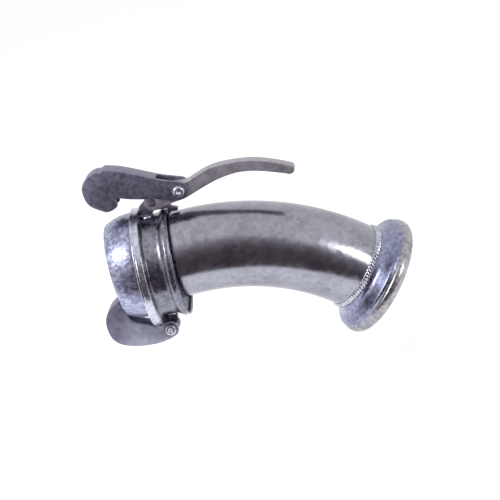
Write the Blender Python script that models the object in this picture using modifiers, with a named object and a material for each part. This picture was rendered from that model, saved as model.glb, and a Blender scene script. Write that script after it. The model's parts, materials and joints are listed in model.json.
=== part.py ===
# Ball coupling elbow, 45 degrees, nominal 4 inch tube, in metres.
# The origin is the centre of the ball end's sphere; -X looks out of the ball end's mouth,
# +Z points up through the closing lever, +Y is the far side of the lever plane.
import math

import bmesh
import bpy
from mathutils import Matrix, Vector

MM = 0.001
FIT = 0.3 * MM                            # air between two pieces that seat on each other

# Sheet and tube
TUBE_R = 54.0 * MM
WALL = 3.0 * MM
BEND_R = 276.0 * MM
BEND_ANGLE = math.radians(45.0)
BEND_ROLL = math.radians(15.0)            # the bend's outer side leans this far off the lever
TUBE_TAIL = 1.7 * MM                      # straight length after the bend

# Ball end
BALL_RISE = 12.5 * MM                     # how far the ball stands over the tube
MOUTH_DEPTH = 31.0 * MM                   # sphere's centre to the mouth
SHOULDER = 15.7 * MM                      # sphere's centre to the end of the neck
BALL_R = TUBE_R + BALL_RISE
TUBE_START = SHOULDER + FIT

# Socket end, lengths from the end of the bend
BALL_PLAY = 1.1 * MM
GROOVE_START = 21.0 * MM
GROOVE_WIDTH = 8.0 * MM
GROOVE_DEPTH = 3.9 * MM
LIP_LENGTH = 11.5 * MM
RIM_WALL = 5.1 * MM
SOCKET_BORE = BALL_R + BALL_PLAY
GROOVE_R = SOCKET_BORE + GROOVE_DEPTH
SOCKET_R = GROOVE_R + RIM_WALL
GROOVE_END = GROOVE_START + GROOVE_WIDTH
SOCKET_LENGTH = GROOVE_END + LIP_LENGTH

# Closure ring, loose on the neck: it hangs until its drum rests on the tube, and leans back
NECK_PLAY = 6.9 * MM
RING_REST = 0.7 * MM                      # drum's centre to the tube where it rests
RING_WALL = 3.3 * MM
BAND_RISE = 11.4 * MM
REAR_RISE = 5.4 * MM
RING_TILT = math.radians(3.0)
RING_SETBACK = 9.0 * MM
RING_REAR = 22.8 * MM
RING_RUN = 13.2 * MM                      # from the ring's rear edge to the bend
RING_X = TUBE_START + RING_SETBACK
RING_DROP = NECK_PLAY - RING_REST
RING_INNER = TUBE_R + NECK_PLAY
DRUM_R = RING_INNER + RING_WALL
BAND_R = DRUM_R + BAND_RISE
REAR_R = DRUM_R + REAR_RISE
BEND_START = RING_X + RING_REAR + RING_RUN

# Lugs and saddle
LUG_HALF = 4.7 * MM
HOOK_LUG_HALF = 8.0 * MM
SADDLE_HALF = 9.0 * MM
SADDLE_T = 3.4 * MM
LEVER_PIN_HEIGHT = 17.0 * MM              # over the drum
HOOK_PIN_DEPTH = 18.1 * MM                # under the drum

# Pins run along Y; places are (x, z)
PIN_R = 5.0 * MM
PIN_HOLE = PIN_R + FIT
EYE_WALL = 3.0 * MM                       # steel round a pin's hole
EYE_R = PIN_HOLE + EYE_WALL
OUTER_EYE_R = EYE_R + 2.1 * MM            # lever and cheeks round their pins
LEVER_PIN = (RING_X + 12.0 * MM, DRUM_R - RING_DROP + LEVER_PIN_HEIGHT)
LINK_PIN = (LEVER_PIN[0] + 37.0 * MM, LEVER_PIN[1] + 7.0 * MM)
HOOK_PIN = (RING_X - 12.0 * MM, -(DRUM_R + RING_DROP + HOOK_PIN_DEPTH))

# Widths along Y
LEVER_HALF = 10.0 * MM
CHEEK_T = 4.5 * MM
CHEEK_IN = LEVER_HALF + 0.5 * MM
CHEEK_OUT = CHEEK_IN + CHEEK_T
WASHER_T = 1.5 * MM
WASHER_R = PIN_HOLE + 3.3 * MM
HEAD_R = PIN_R + 2.2 * MM
HEAD_T = 3.0 * MM
HEAD_REACH = CHEEK_OUT + FIT + WASHER_T + FIT

TURN_STEPS = 40

RING_FRAME = Matrix.Translation((RING_X, 0, -RING_DROP)) @ Matrix.Rotation(RING_TILT, 4, "Y")
# A turned profile is drawn along Z; this lays its axis down along X
LAY_DOWN = Matrix(((0, 0, 1, 0), (0, 1, 0, 0), (-1, 0, 0, 0), (0, 0, 0, 1)))
# A flat outline is drawn in XY; this stands it up in the side view, XZ
STAND_UP = Matrix(((1, 0, 0, 0), (0, 0, -1, 0), (0, 1, 0, 0), (0, 0, 0, 1)))

for old in list(bpy.data.objects):
    bpy.data.objects.remove(old, do_unlink=True)
PARTS = bpy.data.collections.new("ball_coupling_elbow")
CUTTERS = bpy.data.collections.new("cutters")
for folder in (PARTS, CUTTERS):
    bpy.context.scene.collection.children.link(folder)


def around(pin, points):
    """Pairs in millimetres from a pin as places in the side view."""
    return [(pin[0] + a * MM, pin[1] + b * MM) for a, b in points]


def arc(centre, radius, start, end, count):
    """Points on a circle, angles in degrees from +X towards +Z."""
    points = []
    for i in range(count):
        a = math.radians(start + (end - start) * i / (count - 1))
        points.append((centre[0] + radius * math.cos(a), centre[1] + radius * math.sin(a)))
    return points


def helper_object(data):
    obj = bpy.data.objects.new("blank", data)
    obj.hide_render = True
    obj.display_type = "WIRE"
    CUTTERS.objects.link(obj)
    return obj


def baked(obj):
    """The object's mesh with its modifiers, welded; the object itself goes."""
    bpy.context.view_layer.update()
    graph = bpy.context.evaluated_depsgraph_get()
    mesh = bpy.data.meshes.new_from_object(obj.evaluated_get(graph))
    bpy.data.objects.remove(obj, do_unlink=True)
    bm = bmesh.new()
    bm.from_mesh(mesh)
    bmesh.ops.remove_doubles(bm, verts=bm.verts, dist=0.01 * MM)
    bmesh.ops.recalc_face_normals(bm, faces=bm.faces)
    bm.to_mesh(mesh)
    bm.free()
    return mesh


def turned(profile, place, steps=TURN_STEPS, shut=True):
    """Profile of (along, radius) pairs turned about the place's X axis."""
    mesh = bpy.data.meshes.new("profile")
    count = len(profile)
    edges = [(i, i + 1) for i in range(count - 1)]
    if shut:
        edges.append((count - 1, 0))
    mesh.from_pydata([(radius, 0, along) for along, radius in profile], edges, [])
    obj = helper_object(mesh)
    screw = obj.modifiers.new("turn", "SCREW")
    screw.angle = math.tau
    screw.steps = screw.render_steps = steps
    screw.use_merge_vertices = True
    screw.merge_threshold = 0.01 * MM
    result = baked(obj)
    result.transform(place @ LAY_DOWN)
    return result


def plate(outline, low, high, bevel=0.0, place=None):
    """Side view outline given its width along Y from low to high."""
    curve = bpy.data.curves.new("outline", "CURVE")
    curve.dimensions = "2D"
    curve.fill_mode = "BOTH"
    curve.extrude = (high - low) / 2 - bevel
    curve.bevel_depth = bevel
    curve.bevel_resolution = 0
    curve.offset = -bevel
    spline = curve.splines.new("POLY")
    spline.points.add(len(outline) - 1)
    for point, (x, z) in zip(spline.points, outline):
        point.co = (x, z, 0, 1)
    spline.use_cyclic_u = True
    mesh = baked(helper_object(curve))
    mesh.transform(Matrix.Translation((0, (low + high) / 2, 0)) @ STAND_UP)
    if place is not None:
        mesh.transform(place)
    return mesh


def rod(radius, reach, centre):
    """Round bar along Y through a spot of the side view."""
    bm = bmesh.new()
    spot = Matrix.Translation((centre[0], 0, centre[1])) @ Matrix.Rotation(math.radians(90), 4, "X")
    bmesh.ops.create_cone(bm, cap_ends=True, segments=24, radius1=radius, radius2=radius,
                          depth=2 * reach, matrix=spot)
    mesh = bpy.data.meshes.new("rod")
    bm.to_mesh(mesh)
    bm.free()
    return mesh


def cut(mesh, *tools):
    """The mesh less each tool."""
    obj = helper_object(mesh)
    helpers = [helper_object(tool) for tool in tools]
    for helper in helpers:
        step = obj.modifiers.new("cut", "BOOLEAN")
        step.operation = "DIFFERENCE"
        step.solver = "EXACT"
        step.object = helper
    result = baked(obj)
    for helper in helpers:
        bpy.data.objects.remove(helper, do_unlink=True)
    return result


# The bend: its centre line, and a frame whose X runs along the tube and Z away from the bend
INWARD = Vector((0, math.sin(BEND_ROLL), -math.cos(BEND_ROLL)))


def bend_point(angle):
    along = BEND_START + BEND_R * math.sin(angle)
    return Vector((along, 0, 0)) + INWARD * BEND_R * (1 - math.cos(angle))


FORWARD = Vector((math.cos(BEND_ANGLE), 0, 0)) + INWARD * math.sin(BEND_ANGLE)
OUTWARD = Vector((math.sin(BEND_ANGLE), 0, 0)) - INWARD * math.cos(BEND_ANGLE)
SOCKET_FRAME = Matrix.Translation(bend_point(BEND_ANGLE)) @ Matrix(
    (FORWARD, OUTWARD.cross(FORWARD), OUTWARD)).transposed().to_4x4()


def tube_mesh():
    """Curve along the centre line, bevelled to the tube's outside, with a wall by Solidify."""
    steps = 14
    path = [Vector((TUBE_START, 0, 0))]
    path += [bend_point(BEND_ANGLE * i / steps) for i in range(steps + 1)]
    path.append(SOCKET_FRAME @ Vector((TUBE_TAIL, 0, 0)))
    curve = bpy.data.curves.new("centre_line", "CURVE")
    curve.dimensions = "3D"
    curve.bevel_depth = TUBE_R
    curve.bevel_resolution = TURN_STEPS // 2 - 2
    spline = curve.splines.new("POLY")
    spline.points.add(len(path) - 1)
    for point, spot in zip(spline.points, path):
        point.co = (*spot, 1)
    obj = helper_object(baked(helper_object(curve)))
    wall = obj.modifiers.new("wall", "SOLIDIFY")
    wall.thickness = WALL
    wall.offset = -1.0
    wall.use_even_offset = True
    return baked(obj)


def ball_mesh():
    """Spherical zone, rounded shoulder and neck, with the same run inside."""
    def zone(radius, first, last, count):
        spots = [first + (last - first) * i / (count - 1) for i in range(count)]
        return [(x, math.sqrt(radius ** 2 - x ** 2)) for x in spots]

    def neck(x, share, inside):
        return (x * SHOULDER, TUBE_R - inside + share * BALL_RISE)

    outer = zone(BALL_R, -MOUTH_DEPTH, 0.1 * SHOULDER, 8)
    outer += [neck(x, share, 0) for x, share in (
        (0.35, 0.90), (0.51, 0.67), (0.61, 0.42), (0.71, 0.18), (0.82, 0.05), (0.90, 0), (1, 0))]
    inner = [neck(x, share, WALL) for x, share in (
        (1, 0), (0.76, 0.02), (0.60, 0.21), (0.48, 0.51), (0.29, 0.85))]
    inner += zone(BALL_R - WALL, 0.0, -MOUTH_DEPTH, 6)
    return turned(outer + inner, Matrix.Identity(4))


def socket_mesh():
    """Neck, dished back, rolled rim; inside a lip, the seal's groove and the ball's seat."""
    start = TUBE_TAIL + FIT
    dish = GROOVE_START - start
    rise = SOCKET_R - TUBE_R
    outer = [(start + dish * a, TUBE_R + rise * b) for a, b in (
        (0, 0), (0.24, 0.01), (0.45, 0.11), (0.63, 0.31), (0.79, 0.55), (0.9, 0.76), (1.03, 0.90))]
    outer += [(GROOVE_START + a * MM, SOCKET_R - b * MM) for a, b in (
        (3.5, 0.7), (5.7, 0.8), (6.4, 1.5), (7.6, 0.3))]
    outer += [(SOCKET_LENGTH - a * MM, SOCKET_R - b * MM) for a, b in (
        (9.0, 0), (5.0, 0.2), (1.9, 1.4), (0, 3.6))]
    inner = [(SOCKET_LENGTH, SOCKET_BORE + 1.8 * MM), (SOCKET_LENGTH - 2 * MM, SOCKET_BORE)]
    inner += [(GROOVE_END, SOCKET_BORE), (GROOVE_END, GROOVE_R)]
    inner += [(GROOVE_START, GROOVE_R), (GROOVE_START - 0.5 * MM, SOCKET_BORE)]
    deep = SOCKET_BORE - (TUBE_R - WALL)
    inner += [(start + dish * a, TUBE_R - WALL + deep * b) for a, b in (
        (0.79, 0.73), (0.61, 0.40), (0.42, 0.14), (0.24, 0.01), (0, 0))]
    return turned(outer + inner, SOCKET_FRAME)


def seal_mesh():
    """Rubber ring in the groove, with two lips that meet the ball."""
    root = GROOVE_R - FIT
    low, high = GROOVE_START + FIT, GROOVE_END - FIT
    span = high - low
    lips = [(low + span * a, SOCKET_BORE + b * MM) for a, b in (
        (1.0, 1.0), (0.72, -1.4), (0.47, -0.2), (0.25, -2.9), (0.0, -0.8))]
    return turned([(low, root), (high, root)] + lips, SOCKET_FRAME)


def bead_mesh(centre, half_width, height, place):
    """Raised weld over the joint of two pieces."""
    low = TUBE_R + FIT
    section = [(centre - half_width, low), (centre - 0.7 * half_width, low + 0.7 * height),
               (centre, low + height), (centre + 0.7 * half_width, low + 0.7 * height),
               (centre + half_width, low)]
    return turned(section, place)


def ring_mesh():
    """Spool of one sheet: wide band in front, drum, beaded flange behind."""
    outer = [(a * MM, BAND_R - b * MM) for a, b in (
        (-26.6, 1.0), (-25.4, 0), (-15.6, 0.2), (-14.0, 1.6), (-12.4, 6.6), (-10.4, 10.2))]
    outer += [(-8.0 * MM, DRUM_R), (4.0 * MM, DRUM_R), (6.8 * MM, DRUM_R + 0.3 * REAR_RISE)]
    outer += [(9.0 * MM, REAR_R - 0.8 * MM), (11.2 * MM, REAR_R), (14.0 * MM, REAR_R - 1.2 * MM)]
    outer += [(17.0 * MM, REAR_R - 1.6 * MM), (21.4 * MM, REAR_R), (RING_REAR, REAR_R - 0.6 * MM)]
    inner = [(RING_REAR, REAR_R - 2.4 * MM), (20.4 * MM, REAR_R - 3.2 * MM)]
    inner += [(14.6 * MM, REAR_R - 4.4 * MM), (11.0 * MM, REAR_R - 3.2 * MM)]
    inner += [(8.0 * MM, REAR_R - 6.0 * MM), (5.0 * MM, RING_INNER), (-7.5 * MM, RING_INNER)]
    inner += [(a * MM, BAND_R - b * MM) for a, b in (
        (-12.2, 12.8), (-14.2, 9.0), (-16.4, 3.4), (-25.6, 3.0), (-26.6, 2.2))]
    return turned(outer + inner, RING_FRAME, 48)


def seen_from_ring(spot):
    """A place of the side view in the ring's own frame."""
    local = RING_FRAME.inverted() @ Vector((spot[0], 0, spot[1]))
    return (local.x, local.z)


LEVER_SPOT = seen_from_ring(LEVER_PIN)
HOOK_SPOT = seen_from_ring(HOOK_PIN)
DRUM_SEAT = DRUM_R + FIT
SADDLE_TOP = DRUM_SEAT + SADDLE_T


def saddle_mesh():
    """Base plate along the top of the drum."""
    outline = [(-9.6 * MM, DRUM_SEAT + 1.6 * MM), (-7.4 * MM, DRUM_SEAT), (3.2 * MM, DRUM_SEAT)]
    outline += [(4.2 * MM, DRUM_SEAT + 1.4 * MM), (3.4 * MM, SADDLE_TOP), (-9.0 * MM, SADDLE_TOP)]
    return plate(outline, -SADDLE_HALF, SADDLE_HALF, place=RING_FRAME)


def lever_lug_mesh():
    """Central plate that carries the lever's pin, its tail hooked over the rear flange."""
    base = SADDLE_TOP + FIT
    over = REAR_R + 0.8 * MM
    outline = [(-11.0 * MM, base), (4.0 * MM, base), (7.6 * MM, over), (RING_REAR + 1.2 * MM, over)]
    outline += [(RING_REAR + a * MM, over + b * MM) for a, b in (
        (2.2, -4.4), (7.2, -6.0), (13.2, -6.0), (14.2, -2.6), (8.2, -0.6), (4.2, 2.6), (-4.8, 3.4))]
    outline += arc(LEVER_SPOT, EYE_R, -10, 120, 8)
    outline += [(LEVER_SPOT[0] - 13.9 * MM, LEVER_SPOT[1] - 0.2 * MM)]
    outline += [(-11.0 * MM, LEVER_SPOT[1] - 3.7 * MM)]
    body = plate(outline, -LUG_HALF, LUG_HALF, place=RING_FRAME)
    return cut(body, rod(PIN_HOLE, 2 * LUG_HALF, LEVER_PIN))


def hook_lug_mesh():
    """Forked lug under the drum that carries the lower hook's pin."""
    outline = [(-7.6 * MM, -DRUM_SEAT), (-12.6 * MM, -DRUM_SEAT - 5.4 * MM)]
    outline += arc(HOOK_SPOT, EYE_R + 0.6 * MM, 152, 385, 12)
    outline += [(3.6 * MM, -DRUM_SEAT - 8.0 * MM), (3.8 * MM, -DRUM_SEAT)]
    body = plate(outline, -HOOK_LUG_HALF, HOOK_LUG_HALF, place=RING_FRAME)
    fork = [(x * MM, -DRUM_SEAT - z * MM) for x, z in ((-18, 10), (8, 10), (8, 40), (-18, 40))]
    slot = plate(fork, -0.4 * HOOK_LUG_HALF, 0.4 * HOOK_LUG_HALF, place=RING_FRAME)
    return cut(body, slot, rod(PIN_HOLE, 2 * HOOK_LUG_HALF, HOOK_PIN))


def weld_mesh(side, rise, half):
    """Fillet weld along the foot of the saddle (rise 1) or of the hook's lug (rise -1)."""
    foot = side * (half + FIT)
    toe = foot + side * 2.2 * MM
    drum = math.sqrt(DRUM_R ** 2 - toe ** 2)
    section = [(foot, rise * DRUM_SEAT), (foot, rise * (DRUM_SEAT + 2.2 * MM))]
    section += [(foot + side * 1.3 * MM, rise * (DRUM_SEAT + 1.2 * MM)), (toe, rise * (drum + 2 * FIT))]
    middle = Matrix.Translation((-2.2 * MM, 0, 0)) @ Matrix.Rotation(math.radians(90), 4, "Z")
    return plate(section, -4.8 * MM, 4.8 * MM, place=RING_FRAME @ middle)


# Side views, in mm from the pin that each piece hangs on
LEVER_BACK = [(21, 14.0), (29, 16.6), (43, 15.6), (49, 14.0), (59, 18.2), (75, 22.6), (92, 24.6),
              (114, 23.4), (133, 21.0), (153, 15.4), (171, 7.6), (181, 2.0), (187.5, -2.6)]
LEVER_BELLY = [(189, -5.8), (186.5, -8.6), (181, -8.0), (169, -4.0), (153, 0.6), (135, 6.0),
               (115, 9.4), (93, 7.8), (75, 4.0), (59, -0.4), (47, -4.4), (39, -5.0),
               (27, -6.4), (15, -8.4)]
LATCH_OUT = [(-115, 33), (-111.5, 42), (-99, 50.4), (-86, 50.6), (-74, 46.8), (-51, 38), (-31, 28.4),
             (-14, 20.4), (2, 14), (9, 9), (12, 1), (8.5, -7), (0, -11), (-10, -9.6), (-22, -5.0),
             (-34, -0.6), (-43.5, 1), (-54, 5), (-74, 12), (-76, 7), (-76.6, 3.4), (-84, -1.2),
             (-91, -2.4), (-102, 1.4), (-110, 10), (-114.5, 21)]
LATCH_IN = [(-110.5, 32), (-107.6, 39.4), (-97.6, 46), (-86.6, 46.2), (-75.6, 42.4), (-52.6, 33.8),
            (-33, 24.4), (-25, 20.8), (-14, 30), (36, 30), (36, -32), (-82, -32), (-86, 4), (-93, 2),
            (-99.4, 5), (-106, 12.4), (-110, 22.5)]
LOWER_OUT = [(-62, 46.9), (-66.6, 44.5), (-73, 37.5), (-77.2, 28.5), (-77.6, 17.5), (-75, 6.5),
             (-67, -2.9), (-50, -10.1), (-33, -13.3), (-17, -13.9), (-4, -12.3)]
LOWER_TOP = [(-16, 7.1), (-26, 12.3), (-39, 18.3), (-46.4, 23.9), (-51.6, 30.9), (-56, 39.5)]
LOWER_IN = [(-60.6, 42.5), (-68.8, 35.5), (-72.8, 27.5), (-73.2, 17.9), (-70.8, 9.1), (-64, 1.3),
            (-48.6, -5.7), (-32.6, -8.9), (-16, -9.5), (-16, -21.5), (27, -21.5), (27, 28.5),
            (-33, 38.5), (-53, 58.5)]


def lever_mesh():
    """Forged lever: two eyes on the lug, one on the link pin, and the long arched handle."""
    outline = arc(LEVER_PIN, OUTER_EYE_R, -95, -250, 9)
    outline += around(LEVER_PIN, LEVER_BACK) + around(LEVER_PIN, LEVER_BELLY)
    body = plate(outline, -LEVER_HALF, LEVER_HALF, bevel=1.2 * MM)
    gap = around(LEVER_PIN, [(-17, -15), (20, -15), (20, 25), (-17, 25)])
    slot = plate(gap, -LUG_HALF - 2 * FIT, LUG_HALF + 2 * FIT)
    return cut(body, slot, rod(PIN_HOLE, 2 * LEVER_HALF, LEVER_PIN), rod(PIN_HOLE, 2 * LEVER_HALF, LINK_PIN))


def channel_mesh(pin, outline, hollow):
    """Pressed channel: an outline, less the hollow between its cheeks, less the pin's hole."""
    body = plate(outline, -CHEEK_OUT, CHEEK_OUT, bevel=1.0 * MM)
    return cut(body, plate(around(pin, hollow), -CHEEK_IN, CHEEK_IN), rod(PIN_HOLE, 2 * CHEEK_OUT, pin))


def across(pin):
    """Turned pieces of a pin lie along Y at the pin."""
    return Matrix.Translation((pin[0], 0, pin[1])) @ Matrix.Rotation(math.radians(90), 4, "Z")


def riveted_pin_mesh(pin):
    """Shank with a domed head at each end, in one piece once it is riveted."""
    tip = HEAD_REACH + HEAD_T
    half = [(tip, 0), (tip, 0.45 * HEAD_R), (HEAD_REACH + 0.55 * HEAD_T, HEAD_R)]
    half += [(HEAD_REACH, HEAD_R), (HEAD_REACH, PIN_R)]
    return turned(half + [(-a, r) for a, r in reversed(half)], across(pin), 18, shut=False)


def washer_mesh(pin, side):
    low, high = side * (CHEEK_OUT + FIT), side * (CHEEK_OUT + FIT + WASHER_T)
    section = [(low, PIN_HOLE), (low, WASHER_R), (high, WASHER_R), (high, PIN_HOLE)]
    return turned(section, across(pin), 18)


# Finishes: colour, metallic, roughness
BRIGHT_ZINC = ((0.42, 0.41, 0.44), 1.0, 0.30)
SHEET_ZINC = ((0.50, 0.51, 0.58), 0.9, 0.40)
DARK_ZINC = ((0.20, 0.19, 0.24), 0.8, 0.45)
PALE_ZINC = ((0.60, 0.61, 0.66), 0.9, 0.40)
RUBBER = ((0.02, 0.02, 0.02), 0.0, 0.70)


def piece(name, mesh, finish):
    """Named object with its own material."""
    colour, metallic, roughness = finish
    mat = bpy.data.materials.new(name + "_finish")
    mat.use_nodes = True
    shader = mat.node_tree.nodes["Principled BSDF"]
    shader.inputs["Base Color"].default_value = (*colour, 1.0)
    shader.inputs["Metallic"].default_value = metallic
    shader.inputs["Roughness"].default_value = roughness
    mesh.materials.clear()
    mesh.materials.append(mat)
    mesh.shade_smooth()
    mesh.set_sharp_from_angle(angle=math.radians(40))
    obj = bpy.data.objects.new(name, mesh)
    PARTS.objects.link(obj)
    return obj


def joint_axis(name, spot, pieces, parent=None):
    """Empty on a joint's axis that its pieces hang from."""
    empty = bpy.data.objects.new(name, None)
    PARTS.objects.link(empty)
    empty.location = spot
    bpy.context.view_layer.update()
    for child in ([empty] if parent else []) + pieces:
        holder = parent if child is empty else empty
        child.parent = holder
        child.matrix_parent_inverse = holder.matrix_world.inverted()
    bpy.context.view_layer.update()
    return empty


piece("elbow_tube", tube_mesh(), BRIGHT_ZINC)
piece("ball_end", ball_mesh(), SHEET_ZINC)
piece("ball_weld_bead", bead_mesh(TUBE_START, 2.0 * MM, 1.0 * MM, Matrix.Identity(4)), SHEET_ZINC)
piece("socket_end", socket_mesh(), SHEET_ZINC)
piece("socket_weld_bead", bead_mesh(TUBE_TAIL + 0.4 * MM, 3.0 * MM, 1.8 * MM, SOCKET_FRAME), SHEET_ZINC)
piece("socket_seal", seal_mesh(), RUBBER)

ring_pieces = [
    piece("closure_ring", ring_mesh(), SHEET_ZINC),
    piece("lever_saddle", saddle_mesh(), DARK_ZINC),
    piece("lever_lug", lever_lug_mesh(), DARK_ZINC),
    piece("hook_lug", hook_lug_mesh(), SHEET_ZINC),
    piece("saddle_weld_near", weld_mesh(-1, 1, SADDLE_HALF), DARK_ZINC),
    piece("saddle_weld_far", weld_mesh(1, 1, SADDLE_HALF), DARK_ZINC),
    piece("hook_lug_weld_near", weld_mesh(-1, -1, HOOK_LUG_HALF), SHEET_ZINC),
    piece("hook_lug_weld_far", weld_mesh(1, -1, HOOK_LUG_HALF), SHEET_ZINC),
    piece("lever_pivot_pin", rod(PIN_R, LEVER_HALF, LEVER_PIN), PALE_ZINC),
    piece("lower_hook_pin", riveted_pin_mesh(HOOK_PIN), PALE_ZINC),
    piece("lower_washer_near", washer_mesh(HOOK_PIN, -1), PALE_ZINC),
    piece("lower_washer_far", washer_mesh(HOOK_PIN, 1), PALE_ZINC),
]
lever_pieces = [piece("lever", lever_mesh(), DARK_ZINC)]
link_pieces = [
    piece("link_pin", riveted_pin_mesh(LINK_PIN), PALE_ZINC),
    piece("link_washer_near", washer_mesh(LINK_PIN, -1), PALE_ZINC),
    piece("link_washer_far", washer_mesh(LINK_PIN, 1), PALE_ZINC),
]
latch_outline = around(LINK_PIN, LATCH_OUT)
latch_pieces = [piece("latch_hook", channel_mesh(LINK_PIN, latch_outline, LATCH_IN), DARK_ZINC)]
lower_outline = (around(HOOK_PIN, LOWER_OUT) + arc(HOOK_PIN, OUTER_EYE_R, -60, 120, 9)
                 + around(HOOK_PIN, LOWER_TOP))
lower_pieces = [piece("lower_hook", channel_mesh(HOOK_PIN, lower_outline, LOWER_IN), SHEET_ZINC)]

ring_axis = joint_axis("ring_axis", (RING_X, 0, -RING_DROP), ring_pieces)
lever_axis = joint_axis("lever_axis", (LEVER_PIN[0], 0, LEVER_PIN[1]), lever_pieces, ring_axis)
link_axis = joint_axis("link_axis", (LINK_PIN[0], 0, LINK_PIN[1]), link_pieces, lever_axis)
joint_axis("latch_axis", (LINK_PIN[0], 0, LINK_PIN[1]), latch_pieces, link_axis)
joint_axis("lower_axis", (HOOK_PIN[0], 0, HOOK_PIN[1]), lower_pieces, ring_axis)
bpy.data.collections.remove(CUTTERS)
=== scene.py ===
# %% [markdown]
# A galvanised steel pipe elbow with a ball at one end, a socket at the other and a loose
# closure ring with a lever and two hooks. The packed model gives every solid its place and
# its motion. This file gives each solid the finer form and the finish of the real piece.

# %% Load the frame
import json
import math

import bpy
from mathutils import Matrix, Vector


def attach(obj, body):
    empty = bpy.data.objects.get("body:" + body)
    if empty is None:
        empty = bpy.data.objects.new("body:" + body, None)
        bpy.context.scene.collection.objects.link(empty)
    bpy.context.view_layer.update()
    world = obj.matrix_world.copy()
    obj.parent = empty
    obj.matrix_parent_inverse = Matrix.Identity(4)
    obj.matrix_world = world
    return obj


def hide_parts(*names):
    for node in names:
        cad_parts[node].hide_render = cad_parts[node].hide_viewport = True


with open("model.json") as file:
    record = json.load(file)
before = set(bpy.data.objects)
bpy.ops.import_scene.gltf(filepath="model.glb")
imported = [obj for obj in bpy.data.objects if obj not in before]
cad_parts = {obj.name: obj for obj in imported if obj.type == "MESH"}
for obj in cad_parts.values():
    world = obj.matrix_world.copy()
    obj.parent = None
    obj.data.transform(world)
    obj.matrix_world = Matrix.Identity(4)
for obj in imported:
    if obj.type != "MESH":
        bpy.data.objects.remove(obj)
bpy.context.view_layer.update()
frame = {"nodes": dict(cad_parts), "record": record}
scene = bpy.context.scene
scene.view_settings.view_transform = "Standard"
MM = 0.001

# %% [markdown]
# The photograph was taken from about two metres with a long lens, a little above the pipe.
# The camera could be set by eye. Here its place and turn were worked out from the tube's
# outline and the two rims, because a long lens shows small errors of angle as a wrong bend.

# %% Camera
camera_data = bpy.data.cameras.new("camera")
camera_data.lens = 121.366
camera_data.sensor_width = 36.0
camera_data.clip_end = 60.0
camera = bpy.data.objects.new("camera", camera_data)
scene.collection.objects.link(camera)
camera.location = (0.3815, -2.0116, 0.5571)
camera.rotation_euler = tuple(math.radians(a) for a in (73.5096, 15.878, 2.3207))
scene.camera = camera
print("camera", round(camera.location.length, 2), "m from the ball's centre")

# %% [markdown]
# A finish on metal is a web of noises that feed colour, gloss and relief. Drawn by hand it
# is a wide node tree. Written out it reads better as plain sums, so a small class wraps one
# output socket: adding or multiplying two of them makes the Math node that does it.


# %% Sums of sockets
class Value:
    """One output socket, with arithmetic that builds Math nodes."""

    def __init__(self, finish, socket):
        self.finish = finish
        self.socket = socket

    def join(self, operation, *others):
        """A Math node on this value and others."""
        return self.finish.add("Math", {"operation": operation}, [self, *others])

    def __add__(self, other):
        return self.join("ADD", other)

    def __sub__(self, other):
        return self.join("SUBTRACT", other)

    def __mul__(self, other):
        return self.join("MULTIPLY", other)

    __radd__ = __add__
    __rmul__ = __mul__

    def __rsub__(self, other):
        return self.finish.add("Math", {"operation": "SUBTRACT"}, [other, self])

    def band(self, low, high):
        """0 below low, 1 above high, smooth between."""
        return self.finish.add("MapRange", {"interpolation_type": "SMOOTHSTEP"},
                               {"Value": self, "From Min": low, "From Max": high})


print("made the class", Value.__name__)

# %% [markdown]
# A finish grows in a material's node tree. Each method below is a move that one makes often by
# hand: add a node and wire it, lay one colour over another, find the worn edges, plug the
# result into the shader. A number that is the same all over is set on the shader itself.


# %% A material under construction
class Finish:
    """A Principled material whose sockets are fed by values."""

    def __init__(self, name):
        self.material = bpy.data.materials.new(name)
        self.material.use_nodes = True
        self.tree = self.material.node_tree
        self.shader = self.tree.nodes["Principled BSDF"]
        self.place = self.add("TexCoord", {}, {}, "Object")

    def add(self, kind, settings, inputs, output=0):
        """Any node: its type, its settings, its inputs and the output wanted."""
        node = self.tree.nodes.new("ShaderNode" + kind)
        for key, value in settings.items():
            setattr(node, key, value)
        pairs = inputs.items() if isinstance(inputs, dict) else enumerate(inputs)
        for key, value in pairs:
            if isinstance(value, Value):
                self.tree.links.new(value.socket, node.inputs[key])
            else:
                node.inputs[key].default_value = value
        return Value(self, node.outputs[output])

    def noise(self, scale, detail=3.0, rough=0.55, output=0):
        """Noise on the piece's own coordinates."""
        return self.add("TexNoise", {}, {"Vector": self.place, "Scale": scale, "Detail": detail,
                                         "Roughness": rough}, output)

    def mix(self, share, first, second):
        """Colour mix; 0 gives the first, 1 the second."""
        node = self.tree.nodes.new("ShaderNodeMix")
        node.data_type = "RGBA"
        for key, value in ((0, share), (6, first), (7, second)):
            if isinstance(value, Value):
                self.tree.links.new(value.socket, node.inputs[key])
            elif key == 0:
                node.inputs[key].default_value = value
            else:
                node.inputs[key].default_value = (*value, 1.0)
        return Value(self, node.outputs[2])

    def wear(self, radius):
        """1 along the edges of the piece, 0 on its flats."""
        rounded = self.add("Bevel", {"samples": 6}, {"Radius": radius})
        straight = self.add("NewGeometry", {}, {}, "Normal")
        alike = self.add("VectorMath", {"operation": "DOT_PRODUCT"}, [rounded, straight], "Value")
        return (1.0 - alike).band(0.01, 0.16)

    def feed(self, **links):
        """Plug values into the shader's sockets."""
        for key, value in links.items():
            self.tree.links.new(value.socket, self.shader.inputs[key.replace("_", " ")])

    def fix(self, **constants):
        """Set what is the same all over on the shader's own sockets."""
        for key, value in constants.items():
            self.shader.inputs[key.replace("_", " ")].default_value = value

    def bump(self, height, strength, distance):
        """Relief of a height; the distance is its depth in metres."""
        self.feed(Normal=self.add("Bump", {}, {"Height": height, "Strength": strength,
                                               "Distance": distance}, "Normal"))


print("a finish can", [name for name in vars(Finish) if not name.startswith("_")])

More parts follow.
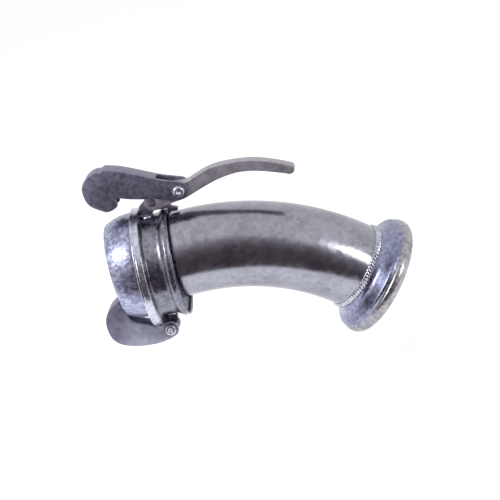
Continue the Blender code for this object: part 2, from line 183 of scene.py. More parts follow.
# %% [markdown]
# Hot-dip zinc freezes in crystals of a few millimetres, and each one has a grey and a gloss
# of its own. Voronoi cells are the natural start. Their straight borders look like tiles,
# so a noise first bends the coordinates. Clouds of a hand's width lie over the crystals,
# and the layer's lumps are what breaks a highlight into blotches.


# %% Zinc
def zinc(name, dark, light, rough, crystal, grain, lumps, facets=0.08, beyond=None, metallic=1.0,
         blur=2 * MM):
    """Spangled zinc between a dark and a light grey.

    crystal is how many crystals lie along a metre, grain is their share in the colour, lumps
    is the strength of the relief and facets the crystals' part in it. beyond is (axis, start,
    dark, light) for other greys beyond a plane, and blur is half the width of that change.
    """
    finish = Finish(name)
    swirl = finish.noise(140.0, 3.0, 0.6, "Color")
    sway = 5 * MM
    bent = finish.add("VectorMath", {"operation": "MULTIPLY_ADD"},
                      [swirl, (sway, sway, sway), finish.place])
    cells = finish.add("TexVoronoi", {}, {"Vector": bent, "Scale": crystal}, "Color")
    crystals = finish.add("SeparateColor", {}, [cells])
    clouds = finish.noise(26.0, 5.0, 0.6)
    mottle = finish.noise(170.0, 4.0, 0.6)
    fine = finish.noise(700.0, 3.0)
    tone = crystals * grain + clouds * (0.6 - 0.6 * grain) + mottle * (0.4 - 0.4 * grain)
    colour = finish.mix(tone.band(0.30, 0.66), dark, light)
    # Other greys beyond a plane: painted shade on the lower hook, a painted reflection on the socket's
    # rim, and a lighter front band on the ring.
    if beyond:
        axis, start, far_dark, far_light = beyond
        along = finish.add("VectorMath", {"operation": "DOT_PRODUCT"},
                           [finish.place, tuple(axis)], "Value")
        colour = finish.mix(along.band(start - blur, start + blur), colour,
                            finish.mix(tone.band(0.30, 0.66), far_dark, far_light))
    dirt = finish.noise(210.0, 5.0, 0.72).band(0.62, 0.74)
    colour = finish.mix(dirt * 0.5, colour, tuple(0.45 * c for c in dark))
    colour = finish.mix(finish.wear(0.7 * MM) * 0.45, colour, (0.78, 0.79, 0.84))
    finish.feed(Base_Color=colour,
                Roughness=crystals * 0.08 + clouds * 0.12 + mottle * 0.10 + (rough - 0.15))
    finish.bump(mottle * 0.7 + clouds * 0.4 + fine * 0.15 + crystals * facets, lumps, 0.6 * MM)
    finish.fix(Metallic=metallic)
    print(name, "finish,", len(finish.tree.nodes), "nodes")
    return finish.material


# %% [markdown]
# The photograph shows several looks of one metal: the bluish pressed ends, the nearly black
# latch hook, the greyer lever, the pale lower hook with painted shade on its upper shoulder,
# the smooth drawn tube, the bright rivet heads and welds, and the dull washers. They are one
# function with other greys, roughness and lumps. The socket and the ring get theirs beside the pieces.

# %% The metal finishes
PRESSED = zinc("pressed_zinc", (0.22, 0.23, 0.36), (0.45, 0.46, 0.60), rough=0.33, crystal=280.0,
               grain=0.40, lumps=0.60, facets=0.25)
# The lower hook is painted darker towards its upper left: painted shade on its shoulder.
HOOK = zinc("hook_zinc_painted_shade", (0.29, 0.30, 0.395), (0.44, 0.45, 0.56), rough=0.46, crystal=200.0,
            grain=0.15, lumps=0.25, metallic=0.65, blur=16 * MM,
            beyond=((-0.8, 0, 0.6), -10 * MM, (0.17, 0.16, 0.24), (0.27, 0.26, 0.36)))
DARK = zinc("dark_zinc", (0.125, 0.117, 0.175), (0.235, 0.222, 0.31), rough=0.42, crystal=300.0,
            grain=0.22, lumps=0.45, metallic=0.9)
HANDLE = zinc("handle_zinc", (0.235, 0.215, 0.25), (0.37, 0.35, 0.395), rough=0.38, crystal=220.0,
              grain=0.15, lumps=0.25, metallic=0.65)
PIN = zinc("pin_zinc", (0.36, 0.36, 0.44), (0.60, 0.60, 0.68), rough=0.30, crystal=400.0,
           grain=0.35, lumps=0.25)
WASHER = zinc("washer_zinc", (0.15, 0.14, 0.19), (0.30, 0.29, 0.36), rough=0.42, crystal=400.0,
              grain=0.35, lumps=0.25)
WELD = zinc("weld_zinc", (0.30, 0.30, 0.38), (0.60, 0.60, 0.68), rough=0.24, crystal=400.0,
            grain=0.35, lumps=0.45)
TUBE = zinc("tube_zinc", (0.25, 0.25, 0.29), (0.36, 0.36, 0.42), rough=0.20, crystal=150.0,
            grain=0.18, lumps=0.20, facets=0.15)

# %% [markdown]
# The seal is black moulded rubber. Flat black would look like a hole, so a noise gives it
# two near blacks and a dull sheen that changes a little.

# %% The rubber
rubber = Finish("seal_rubber")
rubber_noise = rubber.noise(300.0)
rubber.feed(Base_Color=rubber.mix(rubber_noise, (0.012, 0.012, 0.013), (0.035, 0.035, 0.037)),
            Roughness=rubber_noise * 0.2 + 0.55)
rubber.bump(rubber_noise, 0.2, 0.2 * MM)
RUBBER = rubber.material
print(RUBBER.name, "finish,", len(rubber.tree.nodes), "nodes")

# %% [markdown]
# Every outline starts as one vertex that is extruded from point to point, as one clicks a
# profile by hand. Curved stretches come from a few corner points that a Catmull-Rom curve
# rounds, so the numbers stay those that a ruler gives.


# %% Drawing helpers
def deselect_all():
    if bpy.context.mode != "OBJECT":
        bpy.ops.object.mode_set(mode="OBJECT")
    bpy.ops.object.select_all(action="DESELECT")


def select_only(obj):
    """Select this object alone and make it active."""
    deselect_all()
    obj.select_set(True)
    bpy.context.view_layer.objects.active = obj


def mm(points):
    return [tuple(value * MM for value in point) for point in points]


def around(pin, points):
    """Millimetres from a pin as places in the side view."""
    return [(pin[0] + x * MM, pin[1] + z * MM) for x, z in points]


def arc(centre, radius, start, end, count):
    turns = [math.radians(start + (end - start) * i / (count - 1)) for i in range(count)]
    return [(centre[0] + radius * math.cos(a), centre[1] + radius * math.sin(a)) for a in turns]


def flowing(points, steps=6, closed=False):
    """Points along a smooth curve through the given ones."""
    count = len(points)
    result = []
    for i in range(count if closed else count - 1):
        if closed:
            a, b, c, d = (points[(i + k) % count] for k in (-1, 0, 1, 2))
        else:
            b, c = points[i], points[i + 1]
            a = points[i - 1] if i > 0 else tuple(2 * p - q for p, q in zip(b, c))
            d = points[i + 2] if i + 2 < count else tuple(2 * q - p for p, q in zip(b, c))
        for step in range(steps):
            t = step / steps
            result.append(tuple(
                0.5 * (2 * q + (r - p) * t + (2 * p - 5 * q + 4 * r - s) * t * t
                       + (3 * q - p - 3 * r + s) * t ** 3)
                for p, q, r, s in zip(a, b, c, d)))
    if not closed:
        result.append(tuple(points[-1]))
    return result


def draw_chain(points):
    """A new object whose mesh is a chain of edges through the points."""
    deselect_all()
    bpy.ops.mesh.primitive_plane_add(size=1 * MM, location=(0, 0, 0))
    bpy.ops.object.mode_set(mode="EDIT")
    bpy.ops.mesh.merge(type="CENTER")
    bpy.ops.transform.translate(value=points[0])
    for here, there in zip(points, points[1:]):
        step = tuple(b - a for a, b in zip(here, there))
        bpy.ops.mesh.extrude_vertices_move(TRANSFORM_OT_translate={"value": step})
    bpy.ops.object.mode_set(mode="OBJECT")
    return bpy.context.object


print("4 corners flow into", len(flowing([(0, 0), (1, 0), (1, 1), (0, 1)])), "points")

# %% [markdown]
# Two ways of giving a profile its body cover this whole object. What a lathe or a press
# makes round is spun about its axis, and what is cut or forged flat is extruded sideways.
# After a cut, corners are sorted by their distance from a spot off the middle plane, where
# no two mirrored corners are equally far, so the bevel that follows is the same every time.

# %% Shaping helpers
MERGE = 0.01 * MM
SORT_FROM = (0.31, 1.7, 0.93)


def modify(obj, kind, **settings):
    """Add a modifier and apply it."""
    select_only(obj)
    modifier = obj.modifiers.new(kind.lower(), kind)
    for key, value in settings.items():
        setattr(modifier, key, value)
    bpy.ops.object.modifier_apply(modifier=modifier.name)
    return obj


def shade(obj, angle=40):
    """Shade smooth, but keep the edges that turn by more than the angle."""
    select_only(obj)
    bpy.ops.object.shade_smooth_by_angle(angle=math.radians(angle))
    return obj


def soften(obj, width, steps=3, angle=35):
    """Round the edges that turn by more than the angle, then shade smooth."""
    modify(obj, "BEVEL", width=width, segments=steps, limit_method="ANGLE",
           angle_limit=math.radians(angle), use_clamp_overlap=True)
    return shade(obj)


def spun(profile, sides=144, shut=False):
    """Turn a profile of (along X, radius) pairs about the X axis."""
    chain = [(a, 0.0, r) for a, r in profile]
    if shut:
        chain.append(chain[0])
    obj = draw_chain(chain)
    bpy.ops.object.mode_set(mode="EDIT")
    bpy.ops.mesh.select_all(action="SELECT")
    bpy.ops.mesh.spin(steps=sides, angle=math.tau, center=(0, 0, 0), axis=(1, 0, 0))
    bpy.ops.mesh.select_all(action="SELECT")
    bpy.ops.mesh.remove_doubles(threshold=MERGE)
    bpy.ops.mesh.normals_make_consistent(inside=False)
    bpy.ops.object.mode_set(mode="OBJECT")
    return obj


def put(obj, place):
    """Turn and shift the mesh, so that the object itself stays at the origin."""
    select_only(obj)
    obj.matrix_world = place
    bpy.ops.object.transform_apply(location=True, rotation=True, scale=True)
    return obj


def extruded(outline, half):
    """Side view (x, z) given a width of two halves along Y."""
    obj = draw_chain([(x, -half, z) for x, z in outline])
    bpy.ops.object.mode_set(mode="EDIT")
    bpy.ops.mesh.select_all(action="SELECT")
    bpy.ops.mesh.edge_face_add()
    bpy.ops.mesh.select_all(action="SELECT")
    bpy.ops.mesh.extrude_region_move(TRANSFORM_OT_translate={"value": (0, 2 * half, 0)})
    bpy.ops.mesh.select_all(action="SELECT")
    bpy.ops.mesh.normals_make_consistent(inside=False)
    bpy.ops.object.mode_set(mode="OBJECT")
    return obj


def carve(obj, cutter):
    """Cut, then merge and sort what is left, so that every run numbers it the same way."""
    modify(obj, "BOOLEAN", operation="DIFFERENCE", object=cutter, solver="EXACT")
    bpy.data.objects.remove(cutter, do_unlink=True)
    select_only(obj)
    scene.cursor.location = SORT_FROM
    bpy.ops.object.mode_set(mode="EDIT")
    bpy.ops.mesh.select_all(action="SELECT")
    bpy.ops.mesh.remove_doubles(threshold=MERGE)
    bpy.ops.mesh.sort_elements(type="CURSOR_DISTANCE", elements={"VERT", "EDGE", "FACE"})
    bpy.ops.object.mode_set(mode="OBJECT")
    return obj


def cross_rod(radius, reach, spot, sides=48):
    """Round bar along Y through a spot of the side view."""
    deselect_all()
    bpy.ops.mesh.primitive_cylinder_add(vertices=sides, radius=radius, depth=2 * reach,
                                        location=(spot[0], 0, spot[1]),
                                        rotation=(math.radians(90), 0, 0))
    obj = bpy.context.object
    bpy.ops.object.transform_apply(location=True, rotation=True, scale=True)
    return obj


def finish_piece(obj, name, body, slot, material, *nodes):
    """Name the piece, give it its material and tie it to a body in place of solids."""
    obj.name = name
    obj.data.name = name
    obj.data.materials.clear()
    obj.data.materials.append(material)
    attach(obj, body)
    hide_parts(*nodes)
    print(name, len(obj.data.polygons), "faces")


print("shapes come from", spun.__name__, "and", extruded.__name__)

# %% [markdown]
# The tube is drawn over a mandrel, so every section of the bend stays round. Curve and bevel
# would do, but Spin in edit mode is the truer tool: it sweeps the circle about the centre
# of the bend, and the same edge loop is then pushed on for the straight end.

# %% The bend's frame
TUBE_R = 54.0 * MM
WALL = 3.0 * MM
BEND_R = 276.0 * MM
BEND_ANGLE = math.radians(45.0)
BEND_ROLL = math.radians(15.0)
BEND_START = 61.0 * MM
JOINT_X = 16.0 * MM
TAIL = 1.7 * MM
INWARD = Vector((0, math.sin(BEND_ROLL), -math.cos(BEND_ROLL)))
SIDE = Vector((1, 0, 0)).cross(INWARD)
BEND_CENTRE = Vector((BEND_START, 0, 0)) + INWARD * BEND_R
FORWARD = Vector((math.cos(BEND_ANGLE), 0, 0)) + INWARD * math.sin(BEND_ANGLE)
OUTWARD = FORWARD.cross(SIDE).normalized()
BEND_END = BEND_CENTRE + OUTWARD * BEND_R
SOCKET_PLACE = Matrix.Translation(BEND_END) @ Matrix(
    (FORWARD, OUTWARD.cross(FORWARD), OUTWARD)).transposed().to_4x4()
print("end of the bend", [round(v / MM, 1) for v in BEND_END])

# %% Bent tube
deselect_all()
bpy.ops.mesh.primitive_circle_add(vertices=128, radius=TUBE_R, location=(JOINT_X, 0, 0),
                                  rotation=(0, math.radians(90), 0))
tube = bpy.context.object
bpy.ops.object.transform_apply(location=True, rotation=True, scale=True)
bpy.ops.object.mode_set(mode="EDIT")
bpy.ops.mesh.select_all(action="SELECT")
bpy.ops.mesh.extrude_region_move(TRANSFORM_OT_translate={"value": (BEND_START - JOINT_X, 0, 0)})
bpy.ops.mesh.spin(steps=64, angle=BEND_ANGLE, center=BEND_CENTRE, axis=-SIDE)
bpy.ops.mesh.extrude_region_move(TRANSFORM_OT_translate={"value": FORWARD * TAIL})
bpy.ops.mesh.select_all(action="SELECT")
bpy.ops.mesh.remove_doubles(threshold=MERGE)
bpy.ops.mesh.normals_make_consistent(inside=False)
bpy.ops.object.mode_set(mode="OBJECT")
modify(tube, "SOLIDIFY", thickness=WALL, offset=-1.0, use_even_offset=True)
soften(tube, 0.3 * MM, 2)
finish_piece(tube, "bent_tube", "elbow", "tube_zinc", TUBE, "elbow_tube")

# %% [markdown]
# The ball is pressed from sheet: a zone of a sphere with a mouth in front and a rounded
# shoulder behind. A UV sphere cut at both ends would give the zone but not the shoulder, so
# one outer profile is spun, and Solidify gives it the wall, as the press would.

# %% Ball end
BALL_R = 66.5 * MM
zone = [(x * MM, math.sqrt(BALL_R ** 2 - (x * MM) ** 2)) for x in range(-31, 2, 2)]
shoulder = flowing(mm([(1.0, 66.49), (5.5, 65.2), (8.0, 62.4), (9.6, 59.2), (11.2, 56.2), (12.8, 54.6),
                       (14.2, 54.0), (15.7, 54.0)]), 5)
ball = spun(zone + shoulder[1:])
modify(ball, "SOLIDIFY", thickness=WALL, offset=-1.0, use_even_offset=True)
soften(ball, 0.9 * MM)
finish_piece(ball, "ball_shell", "elbow", "pressed_zinc", PRESSED, "ball_end")

# %% [markdown]
# The socket is dished behind and rolled to a thick rim in front. Inside it has a groove and
# a seat that its outside doesn't follow, so Solidify can't help here: the whole section is
# drawn once round and spun shut. Its rim is painted greyer than its bluish back, as a painted
# reflection of the dark side of the room.

# %% Socket end
back = flowing(mm([(2.0, 54.0), (6.5, 54.2), (10.5, 56.0), (13.6, 59.6), (16.2, 64.6), (18.0, 69.2),
                   (19.8, 72.4), (22.2, 73.6), (24.6, 73.5)]), 5)
rim = flowing(mm([(25.8, 74.2), (27.6, 75.8), (30.5, 76.6), (34.0, 76.5), (37.4, 75.4), (39.6, 73.8),
                  (40.5, 72.2)]), 5)
throat = mm([(40.5, 69.4), (38.5, 67.6), (29.0, 67.6), (29.0, 71.5), (21.0, 71.5), (20.5, 68.2)])
seat = flowing(mm([(20.5, 68.2), (18.4, 63.2), (15.2, 57.6), (11.4, 53.4), (7.0, 51.2), (2.0, 51.0)]), 4)
RIM_START = BEND_END.dot(FORWARD) + 25 * MM
# Beyond RIM_START the rim is painted greyer: a painted reflection of the dark side of the room.
SOCKET = zinc("socket_zinc_painted_reflection", (0.17, 0.18, 0.29), (0.32, 0.33, 0.45), rough=0.27, crystal=260.0,
              grain=0.30, lumps=0.35, facets=0.12,
              beyond=(FORWARD, RIM_START, (0.25, 0.24, 0.27), (0.42, 0.41, 0.43)))
socket = spun(back + rim + throat + seat[1:], shut=True)
soften(socket, 0.5 * MM, 2, 50)
put(socket, SOCKET_PLACE)
finish_piece(socket, "socket_shell", "elbow", "pressed_zinc", SOCKET, "socket_end")

# %% [markdown]
# A moulded rubber ring lies in the groove, with two lips that meet the other pipe's ball. It
# shows only from the mouth. It is the same kind of spin, with fewer sides.

# %% Seal
seal = spun(mm([(21.4, 71.2), (28.6, 71.2)]) + flowing(
    mm([(28.6, 68.6), (26.6, 66.3), (24.8, 67.2), (23.2, 64.7), (21.4, 67.0)]), 5), 96, shut=True)
soften(seal, 0.3 * MM, 2, 50)
put(seal, SOCKET_PLACE)
finish_piece(seal, "rubber_seal", "elbow", "seal_rubber", RUBBER, "socket_seal")

# %% [markdown]
# A weld laid by hand is a row of overlapping drops, each frozen at a slant. Modelling every
# drop would be slow to edit. Here the bead is spun with many sides, and its points are then
# moved out and in with the turn, which gives the ripples as real shape.


# %% Rippled beads
BEAD_LOW = 54.3
RIPPLE_FOOT = 54.4 * MM
RIPPLE_FULL = 2.0 * MM
RIPPLE_DEPTH = 1.7 * MM
RIPPLE_SLANT = 0.40


def ripple(obj, drops):
    """Stack-of-drops relief round the X axis, on what stands higher than the foot."""
    for vertex in obj.data.vertices:
        x, y, z = vertex.co
        radius = math.hypot(y, z)
        if radius > RIPPLE_FOOT:
            turn = math.atan2(y, z)
            wave = abs(math.sin(0.5 * drops * turn + RIPPLE_SLANT * x / MM))
            uneven = 0.75 + 0.25 * math.sin(5 * turn + 1.0) * math.cos(3 * turn)
            share = (radius - RIPPLE_FOOT) / RIPPLE_FULL
            factor = 1 - RIPPLE_DEPTH * (1 - wave) * uneven * share / radius
            vertex.co.y, vertex.co.z = y * factor, z * factor
    return obj


def bead(centre, half, height):
    """Closed half-round section over the joint of two pieces, in millimetres along X."""
    crest = [(centre + half * math.cos(a), BEAD_LOW + height * math.sin(a))
             for a in (math.pi * (1 - i / 12) for i in range(13))]
    return spun(mm(crest), 720, shut=True)


for name, node, centre, half, height, drops, place in (
        ("neck_bead", "ball_weld_bead", 16.0, 2.0, 1.0, 90, Matrix.Identity(4)),
        ("socket_bead", "socket_weld_bead", 2.1, 4.4, 2.3, 84, SOCKET_PLACE)):
    run = shade(ripple(bead(centre, half, height), drops), 60)
    finish_piece(put(run, place), name, "elbow", "weld", WELD, node)

# %% [markdown]
# The closure ring is one sheet rolled into a spool: a wide band in front, a drum, and a
# beaded flange behind. It hangs a little low on the neck and leans back, and the packed
# joint says where its axis lies, so the ring is spun upright and then laid on that axis.

# %% Closure ring
joints = {joint["name"]: joint for joint in frame["record"]["behaviour"]["joints"]}
ring_axis = joints["ring_turn"]
RING_SHEET = 2.6 * MM
RING_TILT = math.atan2(-ring_axis["axis"][2], ring_axis["axis"][0])
RING_PLACE = Matrix.Translation(ring_axis["pos_m"]) @ Matrix.Rotation(RING_TILT, 4, "Y")
MOUTHWARD = -Vector(ring_axis["axis"])
BAND_START = MOUTHWARD.dot(Vector(ring_axis["pos_m"])) + 12 * MM
RING = zinc("ring_zinc", (0.145, 0.145, 0.19), (0.265, 0.265, 0.31), rough=0.26, crystal=260.0,
            grain=0.30, lumps=0.12, facets=0.08,
            beyond=(MOUTHWARD, BAND_START, (0.37, 0.38, 0.48), (0.60, 0.61, 0.70)))
spool = flowing(mm([(-23.0, 74.6), (-22.2, 75.6), (-20.4, 75.5), (-18.8, 74.7), (-15.0, 74.6),
                    (-12.8, 74.2), (-11.6, 71.6), (-11.0, 67.6), (-9.8, 65.0), (-7.4, 64.2), (0.0, 64.2),
                    (7.0, 64.3), (10.4, 65.4), (13.4, 67.6), (16.4, 69.2), (18.6, 69.0), (20.4, 68.4),
                    (22.0, 69.5), (22.8, 69.5)]), 4)
ring = spun(spool, 160)
modify(ring, "SOLIDIFY", thickness=RING_SHEET, offset=-1.0, use_even_offset=False)
soften(ring, 0.9 * MM, 3, 50)
put(ring, RING_PLACE)
finish_piece(ring, "spool_ring", "closure_ring", "pressed_zinc", RING, "closure_ring")

# %% [markdown]
# The lever, the latch hook and the lower hook turn on pins. Their outlines are drawn in side
# view, in millimetres from the pin that each hangs on, so a corner can be checked with a
# ruler on the photograph. The pins' places come from the packed joints.

# %% Pins and widths
LEVER_PIN = (joints["lever_swing"]["pos_m"][0], joints["lever_swing"]["pos_m"][2])
LINK_PIN = (joints["link_pin_turn"]["pos_m"][0], joints["link_pin_turn"]["pos_m"][2])
HOOK_PIN = (joints["lower_hook_swing"]["pos_m"][0], joints["lower_hook_swing"]["pos_m"][2])
PLAY = 0.3 * MM
PIN_R = 5.0 * MM
HOLE = PIN_R + PLAY
DRILL = 20.0 * MM
EYE_R = 10.4 * MM
LEVER_HALF = 10.0 * MM
FORK_HALF = 5.3 * MM
CHEEK_IN = 10.5 * MM
CHEEK_OUT = 15.0 * MM
print("pins at", LEVER_PIN, LINK_PIN, HOOK_PIN)

# %% [markdown]
# The lever is a forging with an arched handle and softly rounded edges. A swept curve would
# be quick, but its depth changes along the arch, so the side view is extruded, its edges
# get a wide bevel, and only then is the fork for the lug cut, so that the slot stays sharp.

# %% Lever
LEVER_BACK = [(21, 14.0), (29, 16.0), (40, 15.6), (49, 15.0), (59, 18.2), (75, 22.8), (92, 24.6),
              (114, 23.0), (133, 19.6), (150, 14.0), (165, 7.4), (176, 2.0), (181, -0.8)]
LEVER_BELLY = [(182, -4.4), (179.4, -8.4), (174.6, -9.6), (168, -6.8), (157, -2.4), (145, 2.2),
               (131, 6.4), (115, 9.2), (102, 9.2), (86, 7.2), (68, 2.8), (52, -2.0), (41, -5.2),
               (27, -6.4), (15, -8.4)]
eye = arc(LEVER_PIN, EYE_R, -95, -250, 24)
lever = extruded(eye + flowing(around(LEVER_PIN, LEVER_BACK), 5)
                 + flowing(around(LEVER_PIN, LEVER_BELLY), 5), LEVER_HALF)
soften(lever, 4.4 * MM, 6)
fork = around(LEVER_PIN, [(-17, -15), (20, -15), (20, 25), (-17, 25)])
carve(lever, extruded(fork, FORK_HALF))
carve(lever, cross_rod(HOLE, DRILL, LEVER_PIN))
carve(lever, cross_rod(HOLE, DRILL, LINK_PIN))
soften(lever, 0.4 * MM, 2, 50)
finish_piece(lever, "forged_lever", "lever", "dark_zinc", HANDLE, "lever")

# %% [markdown]
# The latch hook is a sheet channel with a back that wraps round its head and a nose that
# grips the other pipe's rim. Folding a sheet in edit mode would need many faces, so the
# outline is extruded and a second outline cuts the hollow between the two cheeks.

# %% Latch hook
LATCH_OUT = [(-115.4, 32), (-110.6, 41), (-103, 46.4), (-94.6, 48.6), (-88.4, 47.8), (-84, 49.4),
             (-76, 47.4), (-64, 43.0), (-49, 35.6), (-33, 27.2), (-17, 19.4), (0, 12.6), (8, 9), (12, 1),
             (8.5, -7), (0, -11), (-10, -9.6), (-22, -5.0), (-34, -0.6), (-43.5, 1), (-54, 3.6),
             (-66, 7.4), (-76.4, 11.2), (-78.2, 8.4), (-77.8, 3.0), (-80.2, 0.2), (-86, -2.2),
             (-93.4, -2.8), (-98, -0.4), (-104, 3.6), (-110.6, 9.4), (-115, 18)]
LATCH_IN = [(-110.6, 31), (-106.6, 38), (-100.6, 42.4), (-94, 44.2), (-86.6, 43.6), (-76.6, 42.6),
            (-65, 38.4), (-51, 31.2), (-35, 23), (-27, 19.6), (-14, 30), (36, 30), (36, -32), (-82, -32),
            (-86, 4), (-93, 2), (-99.4, 5), (-106, 12.4), (-110.4, 21)]
latch = extruded(flowing(around(LINK_PIN, LATCH_OUT), 4, closed=True), CHEEK_OUT)
carve(latch, extruded(around(LINK_PIN, LATCH_IN), CHEEK_IN))
carve(latch, cross_rod(HOLE, DRILL, LINK_PIN))
soften(latch, 1.6 * MM)
finish_piece(latch, "latch_channel", "latch_hook", "dark_zinc", DARK, "latch_hook")

# %% [markdown]
# The lower hook is a scoop under the mouth, pressed like the latch hook. It is made the same
# way. Its eye is a true arc about the pin, because a curve through points would flatten it.

# %% Lower hook
LOWER_OUT = [(-53.4, 51.6), (-58, 51.0), (-66.6, 46.0), (-73.6, 38.0), (-77.2, 28.5), (-77.6, 17.5),
             (-75, 6.5), (-67, -2.9), (-50, -10.1), (-33, -13.3), (-17, -13.9), (-4, -12.3)]
LOWER_TOP = [(-16, 7.1), (-26, 12.3), (-39, 18.6), (-46.0, 25.0), (-48.6, 33.0), (-50.4, 43.0)]
LOWER_IN = [(-55.6, 47.6), (-63, 42.4), (-69.4, 35.5), (-73.0, 27.5), (-73.2, 17.9), (-70.8, 9.1),
            (-64, 1.3), (-48.6, -5.7), (-32.6, -8.9), (-16, -9.5), (-16, -21.5), (27, -21.5),
            (27, 28.5), (-33, 42), (-44, 62)]
lower = extruded(flowing(around(HOOK_PIN, LOWER_OUT), 5) + arc(HOOK_PIN, EYE_R, -60, 120, 24)
                 + flowing(around(HOOK_PIN, LOWER_TOP), 5), CHEEK_OUT)
carve(lower, extruded(around(HOOK_PIN, LOWER_IN), CHEEK_IN))
carve(lower, cross_rod(HOLE, DRILL, HOOK_PIN))
soften(lower, 1.4 * MM)
finish_piece(lower, "lower_scoop", "lower_hook", "pressed_zinc", HOOK, "lower_hook")

# %% [markdown]
# A rivet head is upset with a snap tool that leaves a dome with a dimple in the middle, and
# that dimple is the bright spot in the photograph. The pin is a lathe profile from one tip
# to the other. Each washer is a turned ring with a small slope on its edges. One of each is
# turned, laid across the fitting and duplicated to its places.

# %% Model rivet and model washer
ROUND_SIDES = 64
WASHER_R = 8.6 * MM
WASHER_HALF = 0.75 * MM
WASHER_EDGE = 0.25 * MM
WASHER_Y = CHEEK_OUT + PLAY + WASHER_HALF
HEAD_FOOT = WASHER_Y + WASHER_HALF + PLAY
HEAD_R = 7.2 * MM
ACROSS = Matrix.Rotation(math.radians(90), 4, "Z")

dome = [(HEAD_FOOT + rise * MM, share * HEAD_R) for rise, share in (
    (1.2, 0.0), (1.3, 0.12), (1.9, 0.24), (2.6, 0.34), (3.0, 0.46), (2.9, 0.62), (2.5, 0.78),
    (1.8, 0.92), (0.9, 1.0), (0.2, 1.0), (0.0, 0.96))]
half_pin = flowing(dome, 3) + [(HEAD_FOOT, PIN_R)]
whole_pin = half_pin + [(-a, r) for a, r in reversed(half_pin)]
model_rivet = soften(put(spun(whole_pin, ROUND_SIDES), ACROSS), 0.2 * MM, 2, 60)
section = [(-WASHER_HALF, HOLE), (-WASHER_HALF, WASHER_R - WASHER_EDGE),
           (WASHER_EDGE - WASHER_HALF, WASHER_R), (WASHER_HALF - WASHER_EDGE, WASHER_R),
           (WASHER_HALF, WASHER_R - WASHER_EDGE), (WASHER_HALF, HOLE)]
model_washer = shade(put(spun(section, ROUND_SIDES, shut=True), ACROSS))
print("rivet", [round(side / MM, 1) for side in model_rivet.dimensions], "mm")


# %% Rivets and washers in place
def copied(obj, pin, along_y=0.0):
    """Duplicate with a mesh of its own, at a pin of the side view and so far along Y."""
    select_only(obj)
    bpy.ops.object.duplicate(linked=False)
    return put(bpy.context.object, Matrix.Translation((pin[0], along_y, pin[1])))


for label, pin, body, node in (("link", LINK_PIN, "link_pin", "link_pin"),
                               ("lower", HOOK_PIN, "closure_ring", "lower_hook_pin")):
    finish_piece(copied(model_rivet, pin), label + "_rivet", body, "pin_steel", PIN, node)
    for word, along_y in (("near", -WASHER_Y), ("far", WASHER_Y)):
        finish_piece(copied(model_washer, pin, along_y), f"{label}_disc_{word}", body, "pin_steel",
                     WASHER, f"{label}_washer_{word}")
for model in (model_rivet, model_washer):
    bpy.data.objects.remove(model, do_unlink=True)

# %% [markdown]
# The lugs, the saddle and the lever's pivot have the right form in the packed model, but a
# flame-cut plate has no knife edges. A copy of each mesh is merged, its flat faces are
# joined by a limited dissolve, and a narrow bevel breaks every edge.


# %% Plates with broken edges
def dressed_copy(node, width):
    """A copy of a packed solid's mesh, merged, with its flats joined and its edges broken."""
    source = frame["nodes"][node]
    deselect_all()
    obj = bpy.data.objects.new(node + "_plate", source.data.copy())
    scene.collection.objects.link(obj)
    select_only(obj)
    bpy.ops.object.mode_set(mode="EDIT")
    bpy.ops.mesh.select_all(action="SELECT")
    bpy.ops.mesh.remove_doubles(threshold=MERGE)
    bpy.ops.mesh.dissolve_limited(angle_limit=math.radians(1))
    bpy.ops.object.mode_set(mode="OBJECT")
    return soften(obj, width, 2, 30)


for node, slot, material in (
        ("lever_saddle", "dark_zinc", DARK), ("lever_lug", "dark_zinc", DARK),
        ("hook_lug", "pressed_zinc", RING), ("lever_pivot_pin", "pin_steel", WASHER),
        ("saddle_weld_near", "weld", WELD), ("saddle_weld_far", "weld", WELD),
        ("hook_lug_weld_near", "weld", WELD), ("hook_lug_weld_far", "weld", WELD)):
    plate = dressed_copy(node, 0.5 * MM)
    finish_piece(plate, node + "_plate", "closure_ring", slot, material, node)

# %% [markdown]
# The photograph's ground is plain white with no horizon. A wide pale floor catches the
# shadow. To the camera and in reflections it adds some light of its own, so that it is
# white beyond the shadow, and the metal mirrors a white studio.


# %% Floor
def sights(tree):
    """1 on camera, mirror and see-through rays, 0 on the rays that only light."""
    path = tree.nodes.new("ShaderNodeLightPath")
    level = path.outputs["Is Camera Ray"]
    for name in ("Is Glossy Ray", "Is Transmission Ray"):
        either = tree.nodes.new("ShaderNodeMath")
        either.operation = "MAXIMUM"
        tree.links.new(level, either.inputs[0])
        tree.links.new(path.outputs[name], either.inputs[1])
        level = either.outputs[0]
    return level


FLOOR_Z = -0.215
FLOOR_GLOW = 0.46
deselect_all()
bpy.ops.mesh.primitive_plane_add(size=50.0, location=(0.1, 0, FLOOR_Z))
floor = bpy.context.object
floor.name = "floor"
paper = Finish("paper")
glow = Value(paper, sights(paper.tree))
paper.feed(Emission_Color=paper.mix(glow, (0, 0, 0), (FLOOR_GLOW, FLOOR_GLOW, FLOOR_GLOW)))
paper.fix(Base_Color=(0.9, 0.9, 0.9, 1), Roughness=1.0, Specular_IOR_Level=0.0,
          Emission_Strength=1.0)
floor.data.materials.append(paper.material)
print("floor", round(floor.location.z / MM), "mm below the ball's centre")

# %% [markdown]
# White all round would leave the tube flat. The photographer's dark side of the room is what
# draws the brown band along it, so a dark card stands there. Only reflections see it. It
# fades out upwards and towards its sides, since the band's upper edge and ends are soft.

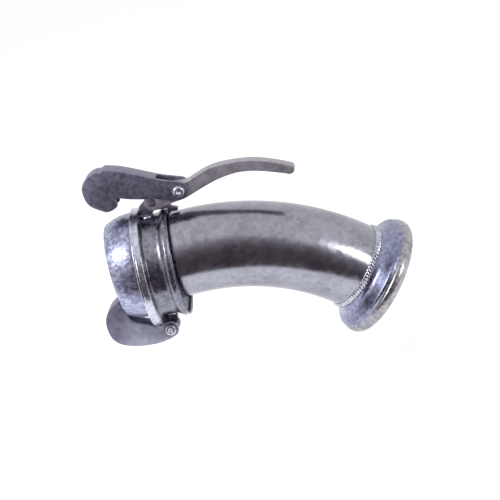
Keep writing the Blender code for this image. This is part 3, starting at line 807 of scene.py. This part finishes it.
# %% Dark card
deselect_all()
bpy.ops.mesh.primitive_plane_add(size=1.0, location=(0, 0, 0))
card = bpy.context.object
card.name = "dark_card"
card.dimensions = (2.2, 1.66, 0)
card.location = (0.12, -0.705, 0.462)
card.rotation_euler = (math.radians(126), 0, 0)
for sight in ("visible_camera", "visible_diffuse", "visible_shadow", "visible_transmission"):
    setattr(card, sight, False)
felt = Finish("felt")
upward = felt.add("SeparateXYZ", {}, [felt.place], "Y") + 0.5
from_middle = felt.add("SeparateXYZ", {}, [felt.place], "X").join("ABSOLUTE")
sideways = (from_middle - 0.05).join("MAXIMUM", 0.0)
felt.feed(Alpha=1.0 - (upward + sideways * 2.3).band(0.10, 0.92))
felt.fix(Base_Color=(0.15, 0.11, 0.125, 1), Roughness=1.0)
card.data.materials.append(felt.material)
print("dark card", [round(side, 2) for side in card.dimensions[:2]], "m")

# %% [markdown]
# The studio's walls are plain white. One even background could be both seen and lighting,
# but then the soft light would be too strong, so the seen white and the softer light that
# fills the shadows are two backgrounds, chosen by the kind of ray.

# %% World
world = bpy.data.worlds.new("studio")
scene.world = world
world.use_nodes = True
nodes, links = world.node_tree.nodes, world.node_tree.links
nodes.clear()
out = nodes.new("ShaderNodeOutputWorld")
seen, soft = nodes.new("ShaderNodeBackground"), nodes.new("ShaderNodeBackground")
seen.inputs["Strength"].default_value = 1.0
seen.inputs["Color"].default_value = (1, 1, 1, 1)
soft.inputs["Color"].default_value = (0.95, 0.96, 1.0, 1)
soft.inputs["Strength"].default_value = 0.6
pick = nodes.new("ShaderNodeMixShader")
links.new(sights(world.node_tree), pick.inputs[0])
links.new(soft.outputs[0], pick.inputs[1])
links.new(seen.outputs[0], pick.inputs[2])
links.new(pick.outputs[0], out.inputs["Surface"])
print("world nodes", len(nodes))

# %% [markdown]
# Two soft boxes stand where the photograph's highlights point: following the mirror angle
# from the bright patch on the ball leads up and left, and from the one before the socket
# it leads low and to the right. A wide lamp overhead only fills, unseen in the metal.

# %% Lamps
def lamp(name, azimuth, elevation, distance, size, power):
    """Area lamp aimed at the elbow; azimuth 0 is the viewer's side, 90 is +X."""
    data = bpy.data.lights.new(name, "AREA")
    data.shape = "RECTANGLE"
    data.size, data.size_y = size
    data.energy = power
    obj = bpy.data.objects.new(name, data)
    scene.collection.objects.link(obj)
    turn, rise = math.radians(azimuth), math.radians(elevation)
    aim = Vector((0.1, 0, 0))
    away = Vector((math.sin(turn) * math.cos(rise), -math.cos(turn) * math.cos(rise), math.sin(rise)))
    obj.location = aim + distance * away
    obj.rotation_euler = away.to_track_quat("Z", "Y").to_euler()
    return obj


lamp("left_box", -48, 38, 1.6, (0.62, 0.62), 10)
lamp("right_box", 54, 9, 1.6, (0.36, 0.50), 5)
overhead = lamp("overhead", 0, 78, 1.7, (1.8, 1.4), 12)
overhead.visible_glossy = False

# %% [markdown]
